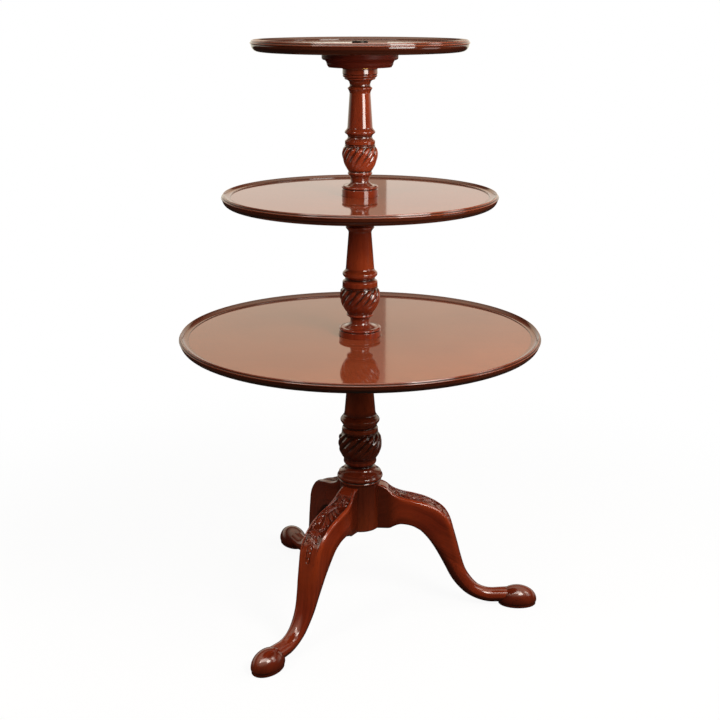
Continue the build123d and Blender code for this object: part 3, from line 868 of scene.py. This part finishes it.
test_relief = knee_relief(test_s, test_q, 23.0)
print("the carving runs from", round(test_relief.min(), 2), "to", round(test_relief.max(), 2), "mm")

# %% [markdown]
# Each section is a rectangle with rounded corners that stands across the leg. Its top side has
# many points, close enough together to hold the carving, and the other sides need only a few.

# %% The outline of a section
top_points = 86
side_points = 14
bottom_points = 12
corner_points = 6
least_corner = 0.4
right_start = top_points + corner_points - 1
right_end = right_start + side_points
left_start = right_end + 2 * (corner_points - 1) + bottom_points
right_side = slice(right_start, right_end)
underside = slice(right_end, left_start)
left_side = slice(left_start, left_start + side_points)
side_share = np.linspace(0, 1, side_points)


def corner_radius(half_width, half_depth, round_off):
    return max(round_off * min(half_width, half_depth), least_corner)


def section(half_width, half_depth, round_off):
    # Points run along the top from left to right, down the right, back underneath and up the left.
    r = corner_radius(half_width, half_depth, round_off)
    sweep = np.linspace(0, math.pi / 2, corner_points + 1)[1:-1]
    flat = half_width - r
    tall = half_depth - r
    top = np.stack([np.linspace(-flat, flat, top_points), np.full(top_points, half_depth)], 1)
    top_right = np.stack([flat + r * np.sin(sweep), tall + r * np.cos(sweep)], 1)
    right = np.stack([np.full(side_points, half_width), np.linspace(tall, -tall, side_points)], 1)
    bottom_right = np.stack([flat + r * np.cos(sweep), -tall - r * np.sin(sweep)], 1)
    bottom = np.stack([np.linspace(flat, -flat, bottom_points), np.full(bottom_points, -half_depth)], 1)
    # Half a turn brings the right side and its two corners to the left.
    return np.concatenate([top, top_right, right, bottom_right, bottom, -top_right, -right, -bottom_right])


print("a section has", len(section(20.0, 20.0, 0.5)), "points")

# %% [markdown]
# A leg's painted shade and highlight are worked out point by point. The cuts and the sunk ground are
# darker: wax, and painted shade. The sides are darker near the hub and towards the underside, and the
# underside darkest: painted shade. Along the crisp edges the value goes below zero, which gives a warm
# line of lighter wood: a painted highlight.

# %% Paint shade and highlight on the legs
highlight_share = 0.4
shade_and_wax_share = 0.66
edge_reach = 4.0


def leg_shade_and_highlight(place, outline, relief, dip):
    across = np.abs(outline[:top_points, 0])
    dark = np.zeros(len(outline))
    # The sunk ground and the cuts are darker: wax, and painted shade.
    sunk = eased((-relief - 0.2) / 1.6)
    panel = rises(place, 17, 6) * (1 - rises(place, 150, 10)) * 0.25
    dark[:top_points] = np.maximum.reduce([eased(dip / 0.6), sunk, np.full(top_points, panel)])
    dark[:top_points] *= eased((carved_end - place) / 10)
    # Painted shade: the sides darken near the hub and towards the underside, and the underside is darkest.
    hub_shade = 1 - rises(place, 8, 42)
    dark[right_side] = np.maximum(0.75 * rises(side_share, 0.6, 0.4), hub_shade)
    dark[left_side] = dark[right_side][::-1]
    dark[underside] = 1.0
    # Painted highlight: a lighter line along the crisp edges of the knee and shin.
    highlight_run = rises(place, 15, 40) * (1 - 0.95 * rises(place, 145, 70))
    edge = np.ones(len(outline))
    edge[:top_points] = eased((across - across.max() + edge_reach) / edge_reach)
    edge[right_side] = 1 - eased(side_share / 0.12)
    edge[left_side] = edge[right_side][::-1]
    edge[underside] = 0.0
    return shade_and_wax_share * dark - highlight_share * highlight_run * edge * (1 - dark)


plain_knee_shading = leg_shade_and_highlight(100.0, section(20.0, 20.0, 0.16), np.zeros(top_points), np.zeros(top_points))
print("a plain knee's age runs from", round(plain_knee_shading.min(), 2), "to", round(plain_knee_shading.max(), 2))

# %% [markdown]
# The skin is one section after another, each lifted by the relief and set across the leg's line. Near
# the hub the underside is held level with the hub's lower face. The grain follows the leg, so its
# coordinates are the way along the leg and the way round the section.

# %% Skin one leg
hub_bottom = 160.0
brace_end = 75.0
corner_blend = 2.0
soften_reach = 9


def leg_skin():
    relief = np.zeros((len(places), top_points))
    for row, (place, station) in enumerate(zip(places, stations)):
        if place < carved_end:
            half_width, half_depth = station[4] / 2, np.hypot(*(station[:2] - station[2:4])) / 2
            flat = half_width - corner_radius(half_width, half_depth, station[5])
            q = np.linspace(-flat, flat, top_points)
            relief[row] = knee_relief(np.full(top_points, place), q, half_width)
    dips = softened(relief, soften_reach) - relief
    grid, painted_light_and_wax, grain = [], [], []
    for row, (upper_x, upper_z, lower_x, lower_z, width, round_share) in enumerate(stations):
        if lower_x < brace_end:
            above_hub = (lower_z - hub_bottom) / corner_blend
            lower_z = hub_bottom + corner_blend * math.log1p(math.exp(above_hub))
        upper, lower = np.array([upper_x, upper_z]), np.array([lower_x, lower_z])
        depth = np.hypot(*(upper - lower))
        rise = (upper - lower) / depth
        centre = (upper + lower) / 2
        outline = section(width / 2, depth / 2, round_share)
        up = outline[:, 1].copy()
        up[:top_points] += relief[row]
        grid.append(np.stack([centre[0] + rise[0] * up, outline[:, 0], centre[1] + rise[1] * up], 1))
        painted_light_and_wax.append(leg_shade_and_highlight(places[row], outline, relief[row], dips[row]))
        grain.append(np.stack([np.full(len(outline), places[row]), travel_along(outline)], 1))
    return np.array(grid), np.array(painted_light_and_wax), np.array(grain)


skin, skin_shading, skin_grain = leg_skin()
print("leg skin:", skin.shape[0], "sections of", skin.shape[1], "points")

# %% [markdown]
# The foot is an egg, cut flat over a low pad of the same outline. It is made as a stack of
# ellipses, which ends at the crown of the egg, and the pad is a second, shorter stack whose edges are
# eased. The small step between them is the dark line that sets the foot off from the floor. The foot
# is painted darker towards its bottom, and the pad darker still: painted shade.

# %% The foot and its pad
foot_centre = 306.0
pad_top = 6.5
belly_height = 8.88
foot_top = 37.0
pole = 0.02
around_foot = 96


def stacked_ellipses(levels, half_length, half_width):
    angle = np.linspace(0, 2 * math.pi, around_foot, endpoint=False)
    rings = [np.stack([
        foot_centre + share * half_length * np.cos(angle),
        share * half_width * np.sin(angle),
        np.full(around_foot, height)], 1) for share, height in levels]
    return np.array(rings)


climb = np.linspace(0, math.pi / 2, 26)[1:-1]
egg_levels = [(pole, pad_top), (0.965, pad_top), (0.99, 6.9), (1.0, belly_height)]
egg_levels += [(math.cos(a), belly_height + (foot_top - belly_height) * math.sin(a)) for a in climb]
egg_levels += [(pole, foot_top)]
pad_levels = [(pole, 0.0), (0.975, 0.0), (1.0, 0.8), (1.0, 5.9), (0.985, pad_top), (pole, pad_top)]
egg = stacked_ellipses(egg_levels, 37.5, 26.0)
pad = stacked_ellipses(pad_levels, 36.0, 24.5)
# Painted shade: the foot darkens towards its bottom, and the pad all over.
egg_shade = 0.1 + 0.6 * np.linspace(1, 0, len(egg_levels)) ** 2
pad_shade = np.full(len(pad_levels), 0.6)
print("foot stack:", len(egg_levels), "rings, pad stack:", len(pad_levels), "rings")

# %% [markdown]
# The three legs are one pattern, turned by 120 degrees each. Each leg, foot and pad are joined in one
# object, so that they replace the whole CAD leg. The rear leg is darker all over.

# %% Place the legs
def turned(points, degrees):
    a = math.radians(degrees)
    x, y, z = points[..., 0], points[..., 1], points[..., 2]
    return np.stack([x * math.cos(a) - y * math.sin(a), x * math.sin(a) + y * math.cos(a), z], -1)


leg_places = {
    "leg_right": dict(degrees=0, tone_offset=0.0),
    "leg_rear_left": dict(degrees=120, tone_offset=0.4),
    "leg_front_left": dict(degrees=240, tone_offset=0.0),
}
for name, setting in leg_places.items():
    degrees, tone_offset = setting["degrees"], setting["tone_offset"]
    painted_tone = np.maximum(skin_shading, tone_offset) if tone_offset else skin_shading
    meshes = [grid_mesh(name, turned(skin, degrees), False, painted_tone, skin_grain)]
    for stack, stack_shade in ((egg, egg_shade), (pad, pad_shade)):
        foot_shading = np.repeat(tone_offset + (1 - tone_offset) * stack_shade[:, None], around_foot, 1)
        meshes.append(grid_mesh(name + "_foot", turned(stack, degrees), False, foot_shading, stack[..., :2]))
    pieces = [bpy.data.objects.new(name + "_carved", mesh) for mesh in meshes]
    for piece in pieces:
        piece.data.materials.append(leg_wood)
        bpy.context.scene.collection.objects.link(piece)
    with bpy.context.temp_override(active_object=pieces[0], selected_editable_objects=pieces):
        bpy.ops.object.join()
    leg = pieces[0]
    leg.name = name + "_carved"
    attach(leg, "stand")
    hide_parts(name)
    print(leg.name, len(leg.data.polygons), "faces")

# %% [markdown]
# The bearers, washers, screws, brace, stud and nut already have their true shape in the CAD model, so
# they stay as they are and only take their finish.

# %% Finish the pieces that stay
finishes = {
    "mahogany_bearer": shaded_bearer_wood,
    "black_iron": iron,
    "steel_screw": steel,
    "brass_washer": brass,
}
kept = 0
for part in frame["record"]["subparts"]:
    if part["material_slot"] in finishes:
        node = frame["nodes"][part["node"]]
        node.data.materials.clear()
        node.data.materials.append(finishes[part["material_slot"]])
        kept += 1
print(kept, "CAD nodes took a finish")

# %% [markdown]
# The floor is a plain pale sheet. The camera sees it almost white, but part of what it sees is the
# sheet's own lit surface, so the shadow under the feet stays. Further out the sheet fades to pure
# white, as a paper sweep does.

# %% Lay the floor
floor_half = 7.0
shade_start = 0.55
shade_end = 1.5


def flat_sheet(name, corners):
    mesh = bpy.data.meshes.new(name)
    mesh.from_pydata(corners, [], [(0, 1, 2, 3)])
    sheet = bpy.data.objects.new(name, mesh)
    bpy.context.scene.collection.objects.link(sheet)
    return sheet


floor = flat_sheet("floor", [
    (-floor_half, -floor_half, 0), (floor_half, -floor_half, 0),
    (floor_half, floor_half, 0), (-floor_half, floor_half, 0)])
paper, tree = new_material("matt_white_paper")
place = add(tree, "TexCoord")
distance = add(tree, "VectorMath", {0: place.outputs["Object"]}, operation="LENGTH")
far = add(tree, "MapRange", {
    "Value": distance.outputs["Value"], "From Min": shade_start, "From Max": shade_end,
    "To Min": 0.92, "To Max": 1.0}, interpolation_type="SMOOTHSTEP")
ray = add(tree, "LightPath")
seen = add(tree, "Math", {
    0: ray.outputs["Is Camera Ray"], 1: far}, operation="MULTIPLY")
# The camera sees pale paper, and light on its way back to the table meets a dark carpet.
sheet_colour = add(tree, "Mix", {
    0: ray.outputs["Is Camera Ray"], 6: linear("#3C3834"), 7: linear("#F6F6F6")}, data_type="RGBA")
matt = add(tree, "BsdfDiffuse", {"Color": sheet_colour.outputs[2]})
white = add(tree, "Emission", {"Color": (1.0, 1.0, 1.0, 1.0), "Strength": 1.0})
sheet = add(tree, "MixShader", {0: seen, 1: matt, 2: white})
add(tree, "OutputMaterial", {"Surface": sheet})
floor.data.materials.append(paper)
print("floor", 2 * floor_half, "m across")

# %% [markdown]
# The polish shows the room as much as the wood. Trays seen at a low angle mirror a pale wall behind
# the table, which is why they look creamy, while shafts and legs mirror the dim side of the room
# and stay rich. The wall is lit only low down, and a paler ceiling begins high above it. The world
# stands for all three: the camera sees plain white, mirrors see the room, and the soft light that
# falls on the wood comes from a sky that grows brighter upwards.

# %% Light the room
world = bpy.data.worlds.new("studio")
bpy.context.scene.world = world
world.use_nodes = True
tree = world.node_tree
tree.nodes.clear()
place = add(tree, "TexCoord")
parts = add(tree, "SeparateXYZ", {0: place.outputs["Generated"]})
wall = add(tree, "MapRange", {
    "Value": parts.outputs["Y"], "From Min": 0.0, "From Max": 0.6, "To Min": 0.04, "To Max": 1.25},
    interpolation_type="SMOOTHSTEP")
ceiling = add(tree, "MapRange", {
    "Value": parts.outputs["Z"], "From Min": 0.42, "From Max": 0.9, "To Min": 0.0, "To Max": 2.2},
    interpolation_type="SMOOTHSTEP")
wall_top = add(tree, "MapRange", {
    "Value": parts.outputs["Z"], "From Min": 0.31, "From Max": 0.38, "To Min": 1.0, "To Max": 0.08},
    interpolation_type="SMOOTHSTEP")
lit_wall = add(tree, "Math", {0: wall, 1: wall_top}, operation="MULTIPLY")
mirror_light = add(tree, "Math", {
    0: lit_wall, 1: ceiling}, operation="MAXIMUM")
wall_tone = add(tree, "ValToRGB", {"Fac": parts.outputs["Z"]})
wall_tone.color_ramp.elements[0].color = linear("#F3EEDA")
wall_tone.color_ramp.elements[1].color = linear("#E8D8C0")
for height, tone in ((0.15, "#F9EBDC"), (0.29, "#FFE4C4")):
    wall_tone.color_ramp.elements.new(height).color = linear(tone)
sky = add(tree, "MapRange", {
    "Value": parts.outputs["Z"], "From Min": -0.1, "From Max": 0.8, "To Min": 0.1, "To Max": 0.55},
    interpolation_type="SMOOTHSTEP")
ray = add(tree, "LightPath")
mirrored = add(tree, "Math", {
    0: ray.outputs["Is Glossy Ray"], 1: ray.outputs["Is Transmission Ray"]}, operation="MAXIMUM")
indirect = add(tree, "Mix", {
    0: mirrored, 2: sky, 3: mirror_light}, data_type="FLOAT")
strength = add(tree, "Mix", {
    0: ray.outputs["Is Camera Ray"], 2: indirect, 3: 1.0}, data_type="FLOAT")
room = add(tree, "Mix", {
    0: mirrored, 6: linear("#FFFCF4"), 7: wall_tone}, data_type="RGBA")
colour = add(tree, "Mix", {
    0: ray.outputs["Is Camera Ray"], 6: room.outputs[2], 7: (1.0, 1.0, 1.0, 1.0)}, data_type="RGBA")
background = add(tree, "Background", {
    "Color": colour.outputs[2], "Strength": strength})
add(tree, "OutputWorld", {"Surface": background})
print("world nodes:", len(tree.nodes))

# %% [markdown]
# Lamps are flat soft boxes. A strong key box stands to the right of the camera and a small high one
# to the left, and these two light everything. They draw the bright line down each shaft and the
# spots on the toes. In a photograph the highlights and the shading seldom come from one place, so
# three more boxes, called gleams, are seen by the polish alone, and four, called fills, light the
# wood and leave no highlight, as lamps behind polarising film do.

# %% Hang the soft boxes
# Turn is counted from the camera's side of the table, positive to the right. Lengths are in metres.
soft_boxes = [
    # name, turn, distance, height, width, tall, radiance, height it aims at, what it lights
    ("key_box", 42, 1.0, 1.15, 0.44, 0.6, 19.0, 1.15, "all"),
    ("side_gleam", 84, 1.5, 1.5, 0.4, 0.6, 8.0, 1.0, "gloss"),
    ("low_side_gleam", 77, 1.2, 0.69, 0.45, 0.3, 3.0, 0.4, "gloss"),
    ("overhead_gleam", 0, 0.9, 2.3, 2.2, 0.9, 8.0, 0.9, "gloss"),
    ("small_high_box", -44, 1.4, 1.9, 0.35, 0.35, 13.0, 0.3, "all"),
    ("polarised_fill", -50, 1.8, 1.3, 0.6, 0.5, 8.0, 0.9, "wood"),
    ("side_fill", 100, 1.7, 1.1, 0.9, 0.8, 4.0, 0.8, "wood"),
    ("middle_fill", 72, 1.4, 0.64, 0.4, 0.25, 9.0, 0.7, "wood"),
    ("low_fill", -72, 1.0, 0.36, 0.5, 0.3, 1.5, 0.15, "wood"),
]
for name, turn, distance, height, width, tall, radiance, aim_height, lights in soft_boxes:
    lamp = bpy.data.lights.new(name, "AREA")
    lamp.shape = "RECTANGLE"
    lamp.size = width
    lamp.size_y = tall
    lamp.energy = radiance * math.pi * width * tall
    lamp.color = linear("#FFF8F0")[:3]
    box = bpy.data.objects.new(name, lamp)
    a = math.radians(turn)
    spot = np.array([distance * math.sin(a), -distance * math.cos(a), height])
    ahead = np.array([0.0, 0.0, aim_height]) - spot
    ahead /= np.linalg.norm(ahead)
    side = np.cross(ahead, (0.0, 0.0, 1.0))
    side /= np.linalg.norm(side)
    upward = np.cross(side, ahead)
    box.matrix_world = Matrix([
        (side[0], upward[0], -ahead[0], spot[0]),
        (side[1], upward[1], -ahead[1], spot[1]),
        (side[2], upward[2], -ahead[2], spot[2]),
        (0.0, 0.0, 0.0, 1.0),
    ])
    bpy.context.scene.collection.objects.link(box)
    box.visible_camera = False
    box.visible_diffuse = lights != "gloss"
    box.visible_glossy = lights != "wood"
print("lamps:", [row[0] for row in soft_boxes])

# %% [markdown]
# Right of the pillar the trays mirror something duller than the wall. An upright board far behind the
# table stands for it, and only mirrors see it.

# %% Stand the board behind the table
board_left = -0.073
board_right = 0.0127
board_back = 3.0
board_tall = 3.2
board = flat_sheet("upright_board", [
    (board_left, board_back, 0), (board_right, board_back, 0),
    (board_right, board_back, board_tall), (board_left, board_back, board_tall)])
board.visible_camera = False
board.visible_diffuse = False
dull, tree = new_material("dull_board")
glow = add(tree, "Emission", {"Color": linear("#BCA08B"), "Strength": 1.0})
add(tree, "OutputMaterial", {"Surface": glow})
board.data.materials.append(dull)
print("board", round(board_right - board_left, 4), "m wide")
